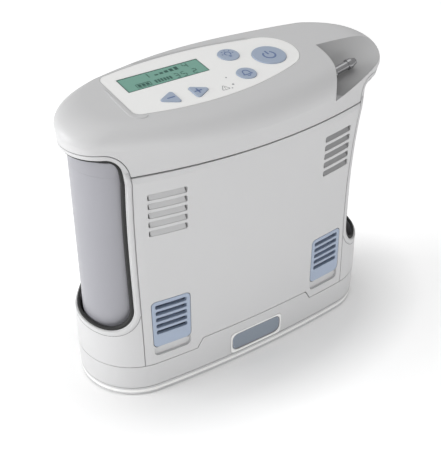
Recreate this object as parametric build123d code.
from build123d import *
import os
from math import asin, atan2, cos, hypot, radians, sin, sqrt, tan

# ---------------------------------------------------------------- driving dimensions, mm
# X runs along the body, -Y is the front face, Z is up, the origin is under the centre of the base.
LEFT_LENGTH = 104.6        # centre to left end, widest, at the top shell's shoulder
RIGHT_LENGTH = 113.0       # centre to right end, where the outlet's hollow reaches out
HALF_WIDTH = 40.5          # widest, at the middle of the long faces
TOP_HEIGHT = 181.2         # control surface above the origin, at y = 0
TOP_TILT = 6.2             # control surface leans down towards the front, degrees
FRONT_SHOULDER = 16.0      # how far the front edge of the top rolls back
BACK_SHOULDER = 3.0
LEFT_SHOULDER = 20.0
RIGHT_SHOULDER = 16.0
FOOT = 0.8                 # rubber feet stand this far below the battery
WALL = 2.4                 # shells
BATTERY_WALL = 1.6
GAP = 0.4                  # every seam between two covers
TOP_GAP = 0.9              # the shadow line under the top shell

BATTERY_TOP = 23.0         # seam between battery and body
BATTERY_SPLIT = 5.8        # seam between the battery's tray and its cover
STEP_TOP = 29.6            # raised centre of the battery's front
STEP_HALF = 40.0           # half its length at the top
STEP_SLOPE = 5.0           # how far each end of it leans out
LEFT_SEAM = 79.2           # the long panels end here, measured outwards from the centre
RIGHT_SEAM = 72.0
RIGHT_LEAN = 455.0         # above LEAN_START the right seam and window edge sweep outwards round this radius
LEAN_START = 66.0
SHELL_SEAM = 153.4         # the top shell starts here

LEFT_COLUMN_X = 72.5       # sieve columns
RIGHT_COLUMN_X = 70.2
COLUMN_R = 26.0
COLUMN_BOTTOM = 34.0
COLUMN_TOP = 152.0
COLUMN_WALL = 1.2
LEFT_COLUMN_HEAD = 161.0   # tops of the columns' end caps
RIGHT_COLUMN_HEAD = 157.0
LEFT_WINDOW = 82.4         # edge of the end window that shows the column, at its foot
RIGHT_WINDOW = 74.9
WINDOW_BOTTOM = 48.8
WINDOW_TOP = 164.0
WINDOW_LOW_R = 17.0
WINDOW_HIGH_R = 8.0
SEAL = 1.4                 # width of the rubber seal round the end window
SEAL_DEPTH = 0.9           # how far the seal lies below the surface
RIM = 2.2                  # lip above the end window

VENT_X = 60.1              # upper vents
VENT_LENGTH = 22.8
VENT_BOTTOM = 116.2
VENT_PITCH = 5.9
VENT_HEIGHT = 3.9
LEFT_FILTER_X = 60.9       # lower intake covers
RIGHT_FILTER_X = 55.8
FILTER_WIDTH = 25.2
FILTER_BOTTOM = 29.0
FILTER_TOP = 69.0
FILTER_GRILLE_BOTTOM = 35.5 # the cover ends here and the finger pocket shows below it
FILTER_SLOT = 2.8
FILTER_SLOTS_Z = 46.4      # lowest slot
FILTER_PITCH = 4.6
SLOTS = 5

LATCH_HALF = 18.8
LATCH_BOTTOM = 8.8
LATCH_TOP = 21.4
LATCH_TRAVEL = 2.4

OVERLAY = 0.8              # thickness of the control overlay
CAP_RISE = 0.5             # button caps stand this far above the overlay
BUTTON_GAP = 0.15          # round every button
PRESS = 0.6                # button travel

NOZZLE_Y = -15.5
NOZZLE_TILT = 12.0         # the outlet points up a little, degrees
NOZZLE_R = 2.6
NOZZLE_BARB = 3.3

CHASSIS_BOTTOM = 24.2
CHASSIS_TOP = 27.2
DECK = 90.0                # shelf between the compressor and the parts above it
SHAFT_Z = 57.0             # compressor crankshaft
FAN_Z = 112.0
FAN_Y = 29.5

os.makedirs("parts", exist_ok=True)


def save(name, shape):
    """Writes one sub-part as a STEP file, with the origin midway along the whole length, and returns it."""
    export_step(Pos((LEFT_LENGTH - RIGHT_LENGTH) / 2, 0, 0) * shape, f"parts/{name}.step")
    return shape


def box(x0, x1, y0, y1, z0, z1):
    """A box between two opposite corners."""
    return Pos((x0 + x1) / 2, (y0 + y1) / 2, (z0 + z1) / 2) * Box(x1 - x0, y1 - y0, z1 - z0)


def rod(x, y, z0, z1, radius):
    """An upright cylinder."""
    return Pos(x, y, (z0 + z1) / 2) * Cylinder(radius, z1 - z0)


def rod_y(x, z, y0, y1, radius):
    """A cylinder along Y."""
    return Pos(x, (y0 + y1) / 2, z) * Rot(90, 0, 0) * Cylinder(radius, y1 - y0)


def rod_x(y, z, x0, x1, radius):
    """A cylinder along X."""
    return Pos((x0 + x1) / 2, y, z) * Rot(0, 90, 0) * Cylinder(radius, x1 - x0)


def mirror_x(shape):
    return mirror(shape, about=Plane.YZ)


def joined(shapes):
    """Fuses a list of shapes into one."""
    total = shapes[0]
    for shape in shapes[1:]:
        total = total + shape
    return total


# ---------------------------------------------------------------- master body
def outline(left, right, half_width, left_radius, right_radius, plane):
    """A closed plan curve: two round ends, each joined tangentially to two long, slightly bowed sides."""
    edges = []
    for sign, length, radius in ((1, right, right_radius), (-1, left, left_radius)):
        side_radius = (length**2 + half_width**2 - 2 * length * radius) / (2 * (half_width - radius))
        centre_y = side_radius - half_width
        reach = hypot(length - radius, centre_y)
        tx = side_radius * (length - radius) / reach
        ty = side_radius * centre_y / reach - centre_y
        middle_x = side_radius * sin(asin(tx / side_radius) / 2)
        middle_y = side_radius * cos(asin(tx / side_radius) / 2) - centre_y
        middle = (sign * middle_x, -sign * middle_y)
        edges.append(ThreePointArc((0, -sign * half_width), middle, (sign * tx, -sign * ty)))
        edges.append(ThreePointArc((sign * tx, -sign * ty), (sign * length, 0), (sign * tx, sign * ty)))
        middle = (sign * middle_x, sign * middle_y)
        edges.append(ThreePointArc((sign * tx, sign * ty), middle, (0, sign * half_width)))
    return plane * Wire(edges)


def tilted(front_y, front_z, back_y, back_z):
    """A plane through a front and a back edge, its origin midway between them."""
    angle = atan2(back_z - front_z, back_y - front_y)
    origin = (0, (front_y + back_y) / 2, (front_z + back_z) / 2)
    return Plane(origin=origin, x_dir=(1, 0, 0), z_dir=(0, -sin(angle), cos(angle)))


# height, half length, half width and end radius of the upright part of the body
WALL_SECTIONS = [
    (FOOT, 102.6, 38.5, 35.2),
    (BATTERY_TOP, 103.1, 38.7, 35.5),
    (62.0, 101.6, 39.2, 34.5),
    (SHELL_SEAM - 3.4, 101.8, HALF_WIDTH, 32.5),
]
SHOULDER_STEPS = (0, 30, 60, 90)
LEFT_END_RADIUS = 23.5     # of the top shell, in plan
RIGHT_END_RADIUS = 25.0


def body(inset):
    """The whole outer form, shrunk by inset on every side."""
    rings = []
    for height, half_length, half_width, end_radius in WALL_SECTIONS:
        level = Plane.XY.offset(max(height, FOOT + inset))
        length = half_length - inset
        radius = end_radius - inset
        rings.append(outline(length, length, half_width - inset, radius, radius, level))
    slope = tan(radians(TOP_TILT))
    front_top = TOP_HEIGHT - (HALF_WIDTH - FRONT_SHOULDER) * slope
    back_top = TOP_HEIGHT + (HALF_WIDTH - BACK_SHOULDER) * slope
    for step in SHOULDER_STEPS:
        inward = 1 - cos(radians(step))
        below = 1 - sin(radians(step))
        front_y = -(HALF_WIDTH - inset) + (FRONT_SHOULDER - inset) * inward
        back_y = (HALF_WIDTH - inset) - (BACK_SHOULDER - inset) * inward
        front_z = front_top - inset - (FRONT_SHOULDER - 2 - inset) * below
        back_z = back_top - inset - (BACK_SHOULDER - inset) * below
        left = LEFT_LENGTH - inset - (LEFT_SHOULDER - inset) * inward
        right = RIGHT_LENGTH - inset - (RIGHT_SHOULDER - inset) * inward
        half_width = hypot(back_y - front_y, back_z - front_z) / 2
        plane = tilted(front_y, front_z, back_y, back_z)
        rings.append(outline(left, right, half_width, LEFT_END_RADIUS - inset, RIGHT_END_RADIUS - inset, plane))
    upright = len(WALL_SECTIONS)
    walls = Solid.make_loft(rings[:upright])
    flare = Solid.make_loft(rings[upright - 1:upright + 1])
    shoulder = Solid.make_loft(rings[upright:])
    return walls + flare + shoulder


outer = body(0.0)
inner = body(WALL)
battery_inner = body(BATTERY_WALL)
TOP_PLANE = Plane(
    origin=(0, 0, TOP_HEIGHT),
    x_dir=(1, 0, 0),
    z_dir=(0, -sin(radians(TOP_TILT)), cos(radians(TOP_TILT))),
)

# the soft hollow at the outlet: a round channel that rises towards the right end
SCOOP_R = 28.3
SCOOP_START = (66.0, -23.7, 192.2)
SCOOP_RISE = 13.2
SCOOP_YAW = 3.8
SCOOP_WALL_R = 58.0        # its bowed left wall, round an upright axis
SCOOP_WALL_CENTRE = (11.8, 3.0)


def scoop(grow):
    """The cutter for the outlet hollow, grown by the thickness of its wall."""
    channel = Cylinder(SCOOP_R + grow, 120)
    channel = Pos(*SCOOP_START) * Rot(0, 0, SCOOP_YAW) * Rot(0, 90 - SCOOP_RISE, 0) * channel
    wall = Pos(*SCOOP_WALL_CENTRE, 180) * Cylinder(SCOOP_WALL_R - grow, 120)
    return (channel & box(30, 150, -80, 80, 130, 240)) - wall


def swept(edge, lean, height):
    """Where an edge that sweeps outwards with radius lean has got to at a height."""
    return edge + lean - sqrt(lean**2 - (height - LEAN_START) ** 2)


def end_cut(edge, low, high, low_radius, high_radius, lean=None):
    """Everything beyond an end edge with two rounded corners, seen from the front, right through along Y."""
    if lean:
        head = swept(edge, lean, high)
        middle = (LEAN_START + high) / 2
        sketch = make_face([
            Line((edge, low), (edge, LEAN_START)),
            ThreePointArc((edge, LEAN_START), (swept(edge, lean, middle), middle), (head, high)),
            Line((head, high), (150, high)),
            Line((150, high), (150, low)),
            Line((150, low), (edge, low)),
        ])
    else:
        head = edge
        sketch = Polygon((edge, low), (150, low), (150, high), (edge, high), align=None)
    corner = sketch.vertices().filter_by(lambda v: v.X < edge + 1 and v.Y < low + 1)
    sketch = fillet(corner, low_radius)
    corner = sketch.vertices().filter_by(lambda v: v.X < head + 1 and v.Y > high - 1)
    sketch = fillet(corner, high_radius)
    return extrude(Plane.XZ * sketch, 60, both=True)


# ---------------------------------------------------------------- covers
HALF_GAP = GAP / 2
shell = outer - inner


def shell_cut(seam, lean=None):
    """What an end housing takes out of the top shell."""
    return end_cut(seam - HALF_GAP, BATTERY_TOP, WINDOW_TOP + RIM + GAP, 0.5, 12.4, lean)


def step(grow):
    """The raised centre of the battery's front, with its sloping ends."""
    foot = STEP_HALF + STEP_SLOPE + grow
    top = STEP_TOP + grow
    base = BATTERY_TOP - 2.0
    sketch = Polygon((-foot, base), (foot, base), (STEP_HALF + grow, top), (-STEP_HALF - grow, top), align=None)
    sharp = sketch.vertices().filter_by(lambda v: v.Y > top - 1)
    sketch = fillet(sharp, 2.0)
    return Pos(0, -20, 0) * extrude(Plane.XZ * sketch, 30)


POCKET_DEPTH = 1.7


def rounded_block(x0, x1, y0, y1, z0, z1, radius):
    """A block whose corners are rounded as seen from the front."""
    block = box(x0, x1, y0, y1, z0, z1)
    return fillet(block.edges().filter_by(Axis.Y), radius)


def slots(x, length, height, bottom, pitch, y0, y1):
    """A ladder of slots with rounded corners through a long face."""
    rungs = []
    for row in range(SLOTS):
        z = bottom + row * pitch
        rungs.append(rounded_block(x - length / 2, x + length / 2, y0, y1, z - height / 2, z + height / 2, 0.9))
    return joined(rungs)


def filter_block(x, margin, y0, y1):
    """The space of one intake cover, seen from the front."""
    return rounded_block(
        x - FILTER_WIDTH / 2 + margin, x + FILTER_WIDTH / 2 - margin, y0, y1,
        FILTER_GRILLE_BOTTOM + margin, FILTER_TOP - margin, 3.0,
    )


def finger_patch(x):
    """The front of the finger pocket below one intake cover."""
    patch = rounded_block(x - 12, x + 12, -50, -20, FILTER_BOTTOM, FILTER_GRILLE_BOTTOM + 3, 3.0)
    return patch & box(x - 20, x + 20, -60, -20, 0, FILTER_GRILLE_BOTTOM)


def panel_zone(y0, y1):
    """The space of a long panel, between the end seams and between the battery and the top shell."""
    zone = box(-LEFT_SEAM + HALF_GAP, 120, y0, y1, BATTERY_TOP + HALF_GAP, SHELL_SEAM - TOP_GAP / 2)
    return zone - end_cut(RIGHT_SEAM - HALF_GAP, 0, 200, 0.5, 0.5, RIGHT_LEAN)


def make_front_panel():
    panel = (shell & panel_zone(-60, 0)) - step(GAP)
    for x in (-VENT_X, VENT_X):
        panel = panel - slots(x, VENT_LENGTH, VENT_HEIGHT, VENT_BOTTOM, VENT_PITCH, -50, -20)
    for x in (-LEFT_FILTER_X, RIGHT_FILTER_X):
        patch = finger_patch(x)
        panel = panel - filter_block(x, 0, -50, -20)
        panel = panel + (patch & (inner - body(POCKET_DEPTH + WALL)))
        panel = panel - (patch & (outer - body(POCKET_DEPTH)))
    return panel


SCREW_X = 39.5
SCREW_LEVELS = (36.0, 143.0)
JACK_X = -58.0
PORT_X = 58.0
PORT_Z = 37.0
HINGE_Y = 36.4             # centre of the rounded left edge the port cover turns on
HINGE_R = 0.6


def make_rear_panel():
    panel = shell & panel_zone(0, 60)
    for row in range(9):
        z = FAN_Z - 16 + row * 4.0
        panel = panel - box(-20, 20, 20, 50, z - 1.0, z + 1.0)
    for side in (-1, 1):
        for z in SCREW_LEVELS:
            panel = panel - rod_y(side * SCREW_X, z, 20, 50, 1.8)
            panel = panel - rod_y(side * SCREW_X, z, 37.4, 50, 3.4)
    panel = panel - rod_y(JACK_X, PORT_Z, 20, 50, 6.2)
    recess = box(PORT_X - 9.4, PORT_X + 8.4, 20, 50, PORT_Z - 5.4, PORT_Z + 5.4) - body(1.4)
    panel = panel - recess
    return panel - box(PORT_X - 5.4, PORT_X + 5.4, 20, 50, PORT_Z - 2.8, PORT_Z + 2.8)


def make_top_shell():
    hollow = inner - scoop(WALL)
    cap = (outer - hollow) - scoop(0)
    cap = cap & box(-150, 150, -60, 60, SHELL_SEAM + TOP_GAP / 2, 220)
    cap = cap - shell_cut(RIGHT_SEAM, RIGHT_LEAN) - mirror_x(shell_cut(LEFT_SEAM))
    cap = cap - TOP_PLANE * Pos(0, 0, -OVERLAY) * extrude(overlay_outline(), 5)
    for place, shape in button_shapes().values():
        cap = cap - TOP_PLANE * place * Pos(0, 0, -8) * extrude(offset(shape, BUTTON_GAP), 10)
    cap = cap - TOP_PLANE * Pos(LCD_X, LCD_Y, -2) * Box(LCD_LENGTH + 0.4, LCD_HEIGHT + 0.4, 8)
    cap = cap - outlet_axis * Pos(0, 0, -NOZZLE_REACH + 10) * Cylinder(4.5, 20)
    return cap - outlet_axis * Cylinder(3.2, 60)


def make_end_housing(whole, seam, window_edge, lean=None):
    """The wall of an end with its tall window, cut out of a whole shell whose end points along +X."""
    zone = end_cut(seam + HALF_GAP, BATTERY_TOP + HALF_GAP, WINDOW_TOP + RIM, 0.5, 12.0, lean)
    window = end_cut(window_edge, WINDOW_BOTTOM, WINDOW_TOP, WINDOW_LOW_R, WINDOW_HIGH_R, lean)
    return (whole & zone & box(seam, 150, -60, 60, 20, 180)) - window


def make_seal(whole, edge, lean=None):
    """The rubber band that lines a window, cut out of a whole band whose end points along +X."""
    opening = end_cut(edge, WINDOW_BOTTOM, WINDOW_TOP, WINDOW_LOW_R, WINDOW_HIGH_R, lean)
    low, high = WINDOW_BOTTOM + SEAL, WINDOW_TOP - SEAL
    inside = end_cut(edge + SEAL, low, high, WINDOW_LOW_R - SEAL, WINDOW_HIGH_R - SEAL, lean)
    return (whole & opening) - inside


# ---------------------------------------------------------------- control surface
LCD_X = -31.0
LCD_Y = 14.7
LCD_LENGTH = 53.0
LCD_HEIGHT = 14.6
PLUNGER = 8.0              # button caps reach this far down to their switches
BOARD_DEPTH = 9.0
POWER_R = 10.4
LIGHT_R = 6.6
ALERT_R = 6.0


def overlay_outline():
    """The smooth outline of the control overlay, wide at the screen and round at the power button."""
    edges = [
        ThreePointArc((-61, 29.4), (-10, 33.2), (36, 27.6)),
        ThreePointArc((36, 27.6), (56.4, 11.5), (45, -9.4)),
        ThreePointArc((45, -9.4), (-8, -20.4), (-60, -15.2)),
        ThreePointArc((-60, -15.2), (-64.2, -13.6), (-65.8, -10)),
        Line((-65.8, -10), (-65.8, 24)),
        ThreePointArc((-65.8, 24), (-64.4, 27.6), (-61, 29.4)),
    ]
    return make_face(edges)


def arrow(turn):
    """A rounded triangle that points along +X, turned by an angle, as the minus and plus keys are."""
    sketch = Polygon((7.4, 0), (-4.4, 6.7), (-4.4, -6.7), align=None)
    return Rot(0, 0, turn) * fillet(sketch.vertices(), 1.6)


def button_shapes():
    """Place and outline of each key on the control surface."""
    return {
        "power_button": (Pos(36.3, 5.4, 0), Circle(POWER_R)),
        "light_button": (Pos(14.9, 16.8, 0), Circle(LIGHT_R)),
        "alert_button": (Pos(12.0, -5.8, 0), Circle(ALERT_R)),
        "minus_button": (Pos(-40.8, -8.3, 0), arrow(180)),
        "plus_button": (Pos(-22.5, -9.2, 0), arrow(0)),
    }


def make_overlay():
    sheet = TOP_PLANE * Pos(0, 0, -OVERLAY) * extrude(offset(overlay_outline(), -0.15), OVERLAY)
    for place, shape in button_shapes().values():
        sheet = sheet - TOP_PLANE * place * Pos(0, 0, -4) * extrude(offset(shape, BUTTON_GAP), 10)
    return sheet - TOP_PLANE * Pos(LCD_X, LCD_Y, 0) * Box(LCD_LENGTH + 0.4, LCD_HEIGHT + 0.4, 8)


def make_button(place, shape):
    cap = extrude(shape, PLUNGER + CAP_RISE)
    cap = fillet(cap.faces().sort_by(Axis.Z)[-1].edges(), 0.35)
    return TOP_PLANE * place * Pos(0, 0, -PLUNGER) * cap


def on_top(x, y, z0, z1, length, width):
    """A block measured from the control surface, z0 and z1 negative below it."""
    return TOP_PLANE * Pos(x, y, (z0 + z1) / 2) * Box(length, width, z1 - z0)


def make_switches():
    domes = []
    for place, _ in button_shapes().values():
        domes.append(TOP_PLANE * place * Pos(0, 0, -BOARD_DEPTH + 0.15) * Cylinder(2.6, 0.3))
    return Compound(domes)


# ---------------------------------------------------------------- outlet
NOZZLE_TIP = (86.0, NOZZLE_Y, 173.6)
NOZZLE_REACH = 19.5        # from the scoop's wall to the tip
NOZZLE_TAIL = -30.0        # its inner end, measured back from the tip
FILTER_LENGTH = 11.0
outlet_axis = Pos(*NOZZLE_TIP) * Rot(0, 90 - NOZZLE_TILT, 0)


def make_nozzle():
    """A barbed spigot, with its bore, a collar at the wall and a threaded tail inside."""
    profile = Polygon(
        (1.3, 0), (2.0, 0), (NOZZLE_BARB, -3.6), (NOZZLE_BARB, -6.2), (NOZZLE_R, -6.2),
        (NOZZLE_R, -16.2), (4.2, -16.8), (4.2, -NOZZLE_REACH), (3.0, -NOZZLE_REACH),
        (3.0, NOZZLE_TAIL), (1.3, NOZZLE_TAIL), align=None,
    )
    return outlet_axis * revolve(Plane.XZ * profile, Axis.Z)


# ---------------------------------------------------------------- battery
SOCKET_X = 85.0
SOCKET_HALF = 8.5
CONTACTS = [SOCKET_X - 5.4 + 3.6 * index for index in range(4)]
CELL_R = 9.1
CELL_PITCH = 18.4
CELLS = 8


def make_battery_base():
    tray = (outer - battery_inner) & box(-150, 150, -60, 60, 0, BATTERY_SPLIT - HALF_GAP)
    return tray


def make_battery_cover():
    zone = box(-150, 150, -60, 60, BATTERY_SPLIT + HALF_GAP, BATTERY_TOP - HALF_GAP)
    hollow = battery_inner & box(-150, 150, -60, 60, 0, BATTERY_TOP - HALF_GAP - BATTERY_WALL)
    cover = (outer & zone) - hollow
    ledge = outer & step(0) & box(-60, 60, -60, -36.2, BATTERY_TOP - HALF_GAP - 0.5, 40)
    cover = cover + ledge
    pocket = rounded_block(-LATCH_HALF - 0.4, LATCH_HALF + 0.4, -60, -34.0, 6.4, LATCH_TOP + 0.4, 2.0)
    cover = cover - pocket
    cover = cover - box(-6.6, 6.6, -36.6, -31.9, 15, BATTERY_TOP)
    cover = cover - box(SOCKET_X - SOCKET_HALF, SOCKET_X + SOCKET_HALF, -9, 9, 20, 24)
    for x in CONTACTS:
        cover = cover - box(x - 1.0, x + 1.0, 8, 50, 22.0, 30)
    return cover


def make_battery_socket():
    """The contact block in the battery's top, with a shallow groove over each contact."""
    block = box(
        SOCKET_X - SOCKET_HALF + 0.2, SOCKET_X + SOCKET_HALF - 0.2, -8.8, 8.8, 15.0, BATTERY_TOP - HALF_GAP)
    for x in CONTACTS:
        block = block - box(x - 1.0, x + 1.0, -6.2, 40, 22.0, 30)
    return block


def make_cells():
    pack = []
    first = -CELL_PITCH * (CELLS - 1) / 2
    for index in range(CELLS):
        pack.append(rod_y(first + index * CELL_PITCH, 11.9, -31.6, 33.0, CELL_R))
    return Compound(pack)


def make_latch():
    """The release key in the battery's front, with a stem that reaches up to the body."""
    skin = outer & rounded_block(-LATCH_HALF, LATCH_HALF, -60, -36.0, LATCH_BOTTOM, LATCH_TOP, 1.8)
    grip = rounded_block(-LATCH_HALF + 5, LATCH_HALF - 5, -60, -38.1, LATCH_BOTTOM + 4.2, LATCH_TOP - 4.6, 1.4)
    stem = box(-6, 6, -36.1, -32.6, 12.0, BATTERY_TOP - HALF_GAP)
    return (skin - grip) + stem


def make_spring():
    """A small coil under the latch's stem."""
    path = Helix(pitch=1.5, height=6.0, radius=1.3)
    wire = Wire([path]) if isinstance(path, Edge) else path
    start = Plane(origin=path @ 0, z_dir=path % 0)
    coil = sweep(start * Circle(0.3), path=wire)
    return Pos(0, -34.2, 5.2) * coil


# ---------------------------------------------------------------- inside
def make_chassis():
    """Floor plate, two side frames and a shelf, with screw bosses at the back."""
    floor = body(WALL + 0.5) & box(-150, 150, -60, 60, CHASSIS_BOTTOM, CHASSIS_TOP)
    parts = [floor, box(-42.7, 42.7, -28, 22, DECK, DECK + 2)]
    for side, x in ((-1, -43.6), (1, 43.1)):
        frame = box(x - 1, x + 1, -26, 26, CHASSIS_TOP - 0.5, 149)
        frame = frame - box(x - 2, x + 2, -14, 14, 98, 138)
        frame = frame - box(x - 2, x + 2, -16, 16, 34, 82)
        parts.append(frame)
        for z in SCREW_LEVELS:
            boss = rod_y(side * SCREW_X, z, 22, 35, 3.4) + box(
                side * 41.5 - 2.5, side * 41.5 + 2.5, 22, 25, z - 3, z + 3)
            parts.append(boss)
    whole = joined(parts)
    for side in (-1, 1):
        for z in SCREW_LEVELS:
            whole = whole - rod_y(side * SCREW_X, z, 26, 40, 1.45)
    for x in (-LEFT_COLUMN_X, RIGHT_COLUMN_X):
        whole = whole - rod(x, 0, 20, 30, 5.2)
    return whole - box(SOCKET_X - 7.4, SOCKET_X + 7.4, -7, 7, 20, 30)


def make_blades():
    """Leaf contacts that hang from the floor plate into the battery's grooves."""
    leaves = [box(x - 0.6, x + 0.6, -5, 5, 22.3, CHASSIS_BOTTOM) for x in CONTACTS]
    return Compound(leaves)


def make_column(x):
    tube = rod(x, 0, COLUMN_BOTTOM, COLUMN_TOP, COLUMN_R)
    return tube - rod(x, 0, COLUMN_BOTTOM - 1, COLUMN_TOP + 1, COLUMN_R - COLUMN_WALL)


def make_column_foot(x):
    """Bottom end cap, with the boss that plugs into the floor plate."""
    plate = rod(x, 0, CHASSIS_TOP, COLUMN_BOTTOM, COLUMN_R)
    plug = rod(x, 0, CHASSIS_BOTTOM, CHASSIS_TOP, 5.0)
    seal = rod(x, 0, COLUMN_BOTTOM, COLUMN_BOTTOM + 8, COLUMN_R - COLUMN_WALL - 0.05)
    return plate + plug + seal - rod(x, 0, 0, 200, 3.0)


def make_column_head(x, top):
    """Top end cap, closed by a port on its inner side."""
    seal = rod(x, 0, COLUMN_TOP - 8, COLUMN_TOP, COLUMN_R - COLUMN_WALL - 0.05)
    plate = rod(x, 0, COLUMN_TOP, top, COLUMN_R)
    port = rod_x(0, COLUMN_TOP + 3, 41, x - COLUMN_R + 2, 2.6)
    return seal + plate + port - rod(x, 0, COLUMN_TOP - 20, COLUMN_TOP + 2, 3.0)


CASE_HALF = 15.0
BORE_R = 9.0
HEAD_END = 37.0
BEARING = 0.05


def make_crankcase():
    case = box(-CASE_HALF, CASE_HALF, -CASE_HALF, CASE_HALF, SHAFT_Z - 15, SHAFT_Z + 15)
    foot = box(-25, 25, -CASE_HALF, CASE_HALF, SHAFT_Z - 19, SHAFT_Z - 15)
    case = case + foot - box(-11, 11, -11, 11, SHAFT_Z - 11, SHAFT_Z + 11)
    case = case - rod_x(0, SHAFT_Z, -20, 20, BORE_R)
    return case - rod_y(0, SHAFT_Z, -13, 20, 3.0 + BEARING)


def make_compressor_head():
    """The right cylinder: a finned barrel with a closed end."""
    barrel = rod_x(0, SHAFT_Z, CASE_HALF, HEAD_END, 11.5)
    fins = [barrel]
    for fin in range(4):
        x = CASE_HALF + 4 + fin * 4.2
        fins.append(rod_x(0, SHAFT_Z, x, x + 1.6, 14.0))
    return joined(fins) - rod_x(0, SHAFT_Z, CASE_HALF - 1, HEAD_END - 3, BORE_R)


def make_motor():
    can = rod_y(0, SHAFT_Z, CASE_HALF, 30, 16.0) + rod_y(0, SHAFT_Z, 30, 32, 8.0)
    return can - rod_y(0, SHAFT_Z, CASE_HALF - 1, 29, 3.0 + BEARING)


def make_crankshaft():
    shaft = rod_y(0, SHAFT_Z, -12.5, 28.5, 3.0)
    cheek = rod_y(0, SHAFT_Z, -2, 2, 6.0)
    throw = Pos(2.5, 0, 0) * rod_y(0, SHAFT_Z, -4, -2, 4.2)
    return shaft + cheek + throw


def make_piston():
    return rod_x(0, SHAFT_Z, 21, 27, BORE_R - BEARING) + rod_x(0, SHAFT_Z, 16, 21, 3.0)


def make_mounts():
    pads = []
    for x in (-20, 20):
        for y in (-11, 11):
            pads.append(rod(x, y, CHASSIS_TOP, SHAFT_Z - 19, 4.0))
    return Compound(pads)


FAN_HALF = 20.0
FAN_DEPTH = 10.0
FAN_BORE = 18.6


def make_fan_frame():
    y0 = FAN_Y - FAN_DEPTH / 2
    y1 = FAN_Y + FAN_DEPTH / 2
    frame = rounded_block(-FAN_HALF, FAN_HALF, y0, y1, FAN_Z - FAN_HALF, FAN_Z + FAN_HALF, 3.0)
    frame = frame - rod_y(0, FAN_Z, y0 - 1, y1 + 1, FAN_BORE)
    for turn in range(3):
        arm = Pos(0, y0 + 1, FAN_Z) * Rot(0, 30 + 120 * turn, 0) * Pos(11, 0, 0) * Box(18, 2, 2.4)
        frame = frame + arm
    stub = rod_y(0, FAN_Z, y0, y0 + 2, 7.0) + rod_y(0, FAN_Z, y0, y0 + 5, 1.5)
    return frame + stub


def make_fan_rotor():
    y0 = FAN_Y - FAN_DEPTH / 2 + 2.4
    y1 = FAN_Y + FAN_DEPTH / 2 - 0.6
    rotor = rod_y(0, FAN_Z, y0, y1, 8.0)
    for turn in range(7):
        blade = Rot(0, 360 / 7 * turn, 0) * Pos(12.6, 0, 0) * Rot(38, 0, 0) * Box(10.4, 1.0, 6.4)
        rotor = rotor + Pos(0, (y0 + y1) / 2, FAN_Z) * blade
    return rotor - rod_y(0, FAN_Z, y0 - 1, y0 + 3.2, 1.5 + BEARING)


def make_main_board():
    """The circuit board behind the front panel, with its larger components."""
    board = box(-40, 40, -29.6, -28.0, DECK + 2, 147)
    chips = [
        (-30, -8, 3.0, 112, 132), (2, 14, 2.2, 118, 130), (22, 36, 4.0, 126, 142),
        (-34, -20, 6.0, 96, 106), (-10, 2, 2.0, 100, 110),
    ]
    for x0, x1, height, z0, z1 in chips:
        board = board + box(x0, x1, -28.0, -28.0 + height, z0, z1)
    return board


def make_manifold():
    block = box(10, 36, -22, 2, DECK + 2, DECK + 16)
    return block + rod_x(-10, DECK + 9, 8, 10, 3.0)


def make_solenoids():
    coils = []
    for x in (15, 23, 31):
        coils.append(rod(x, -2, DECK + 16, DECK + 34, 3.6))
    return Compound(coils)


def make_tank():
    can = rod(-22, -6, DECK + 2, 144, 13.0)
    ends = can.edges().filter_by(GeomType.CIRCLE)
    return fillet(ends, 4.0)


def make_outlet_tube():
    end = (outlet_axis * Pos(0, 0, NOZZLE_TAIL - FILTER_LENGTH - 1.4)).position
    line = FilletPolyline((31, NOZZLE_Y, DECK + 16), (31, NOZZLE_Y, 158), (end.X, end.Y, end.Z), radius=9)
    start = Plane(origin=line @ 0, z_dir=line % 0)
    return sweep(start * Circle(2.4), path=line)


def make_screws():
    heads = []
    for side in (-1, 1):
        for z in SCREW_LEVELS:
            screw = rod_y(side * SCREW_X, z, 28, 37.4, 1.35) + rod_y(side * SCREW_X, z, 37.4, 38.6, 2.8)
            heads.append(screw)
    return Compound(heads)


def make_feet():
    pads = []
    for x in (-68, 68):
        for y in (-22, 22):
            pads.append(rod(x, y, 0, FOOT, 6.0))
    return Compound(pads)


def make_screens():
    """Fine screens behind the two upper vents."""
    half = VENT_LENGTH / 2 + 1.5
    z0 = VENT_BOTTOM - 3
    z1 = VENT_BOTTOM + (SLOTS - 1) * VENT_PITCH + 3
    zone = box(VENT_X - half, VENT_X + half, -60, 0, z0, z1)
    screen = (body(WALL + 0.2) & zone) - body(WALL + 1.0)
    return Compound([screen.solids()[0], mirror_x(screen).solids()[0]])


# ---------------------------------------------------------------- write every sub-part
save("top_shell", make_top_shell())
save("front_panel", make_front_panel())
save("rear_panel", make_rear_panel())
save("right_end_housing", make_end_housing(shell, RIGHT_SEAM, RIGHT_WINDOW, RIGHT_LEAN))
save("left_end_housing", mirror_x(make_end_housing(mirror_x(shell), LEFT_SEAM, LEFT_WINDOW)))

band = body(SEAL_DEPTH) - inner
seals = [make_seal(band, RIGHT_WINDOW, RIGHT_LEAN), mirror_x(make_seal(mirror_x(band), LEFT_WINDOW))]
save("window_seals", Compound([seal.solids()[0] for seal in seals]))

save("control_overlay", make_overlay())
save("lcd_window", on_top(LCD_X, LCD_Y, -1.8, -0.1, LCD_LENGTH, LCD_HEIGHT))
save("lcd_module", on_top(LCD_X, LCD_Y, -BOARD_DEPTH, -3.0, LCD_LENGTH + 3, LCD_HEIGHT + 3))
save("control_board", on_top(-10, 5, -BOARD_DEPTH - 1.6, -BOARD_DEPTH, 98, 46))
save("button_switches", make_switches())
for name, (place, shape) in button_shapes().items():
    save(name, make_button(place, shape))

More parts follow.
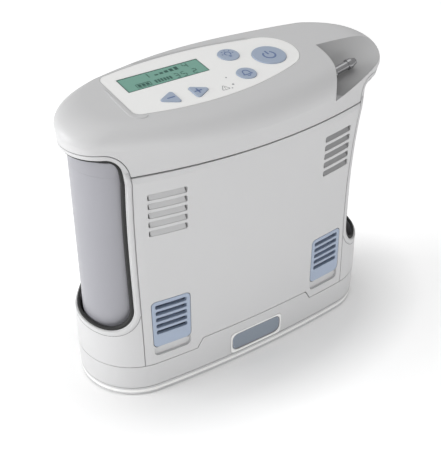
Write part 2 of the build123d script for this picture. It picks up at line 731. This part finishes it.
save("cannula_nozzle", make_nozzle())
nut = extrude(RegularPolygon(5.0, 6), 3.0) - Cylinder(3.05, 20)
save("nozzle_nut", outlet_axis * Pos(0, 0, NOZZLE_TAIL + 2.6) * nut)
save("outlet_filter", outlet_axis * Pos(0, 0, NOZZLE_TAIL - FILTER_LENGTH / 2) * Cylinder(6.0, FILTER_LENGTH))
save("outlet_tube", make_outlet_tube())

dc_jack = rod_y(JACK_X, PORT_Z, 26.6, 35.6, 6.0) - rod_y(JACK_X, PORT_Z, 28, 40, 3.2)
save("dc_jack", dc_jack + rod_y(JACK_X, PORT_Z, 27.5, 34.6, 1.2))
usb_block = box(PORT_X - 5, PORT_X + 5, 26, 34.0, PORT_Z - 2.4, PORT_Z + 2.4)
save("usb_socket", usb_block - box(PORT_X - 4.2, PORT_X + 4.2, 28, 40, PORT_Z - 1.5, PORT_Z + 1.5))
flap = (outer - body(1.1)) & box(PORT_X - 8, PORT_X + 8, 20, 50, PORT_Z - 5, PORT_Z + 5)
save("port_cover", flap + Pos(PORT_X - 8, HINGE_Y, PORT_Z) * Cylinder(HINGE_R, 10))

save("right_column_tube", make_column(RIGHT_COLUMN_X))
save("left_column_tube", mirror_x(make_column(LEFT_COLUMN_X)))
save("right_column_foot", make_column_foot(RIGHT_COLUMN_X))
save("left_column_foot", mirror_x(make_column_foot(LEFT_COLUMN_X)))
save("right_column_head", make_column_head(RIGHT_COLUMN_X, RIGHT_COLUMN_HEAD))
save("left_column_head", mirror_x(make_column_head(LEFT_COLUMN_X, LEFT_COLUMN_HEAD)) & inner)

save("chassis", make_chassis())
terminal = box(SOCKET_X - 7.2, SOCKET_X + 7.2, -6.8, 6.8, CHASSIS_BOTTOM, CHASSIS_TOP)
save("terminal_block", terminal)
save("terminal_blades", make_blades())
save("compressor_crankcase", make_crankcase())
head = make_compressor_head()
save("compressor_head_right", head)
save("compressor_head_left", mirror_x(head))
save("compressor_motor", make_motor())
save("compressor_crankshaft", make_crankshaft())
piston = make_piston()
save("piston_right", piston)
save("piston_left", mirror_x(piston))
save("compressor_mounts", make_mounts())
save("fan_frame", make_fan_frame())
save("fan_rotor", make_fan_rotor())
save("main_board", make_main_board())
save("valve_manifold", make_manifold())
save("solenoid_valves", make_solenoids())
save("product_tank", make_tank())
save("panel_screws", make_screws())
save("vent_screens", make_screens())

for side, x in (("right", RIGHT_FILTER_X), ("left", -LEFT_FILTER_X)):
    grille = (outer - body(2.2)) & filter_block(x, 0.3, -60, -10)
    ladder = slots(x, FILTER_WIDTH - 5.2, FILTER_SLOT, FILTER_SLOTS_Z, FILTER_PITCH, -50, -20)
    save(side + "_filter_cover", grille - ladder)
    save(side + "_filter_foam", filter_block(x, 0.9, -31.4, -27.6))

save("battery_base", make_battery_base())
save("battery_cover", make_battery_cover())
save("battery_socket", make_battery_socket())
save("battery_cells", make_cells())
save("battery_board", box(-96, -76, -15, 15, 4.0, 5.6) + box(-92, -82, -8, 8, 5.6, 8.2))
save("battery_latch", make_latch())
save("latch_spring", make_spring())
save("battery_feet", make_feet())
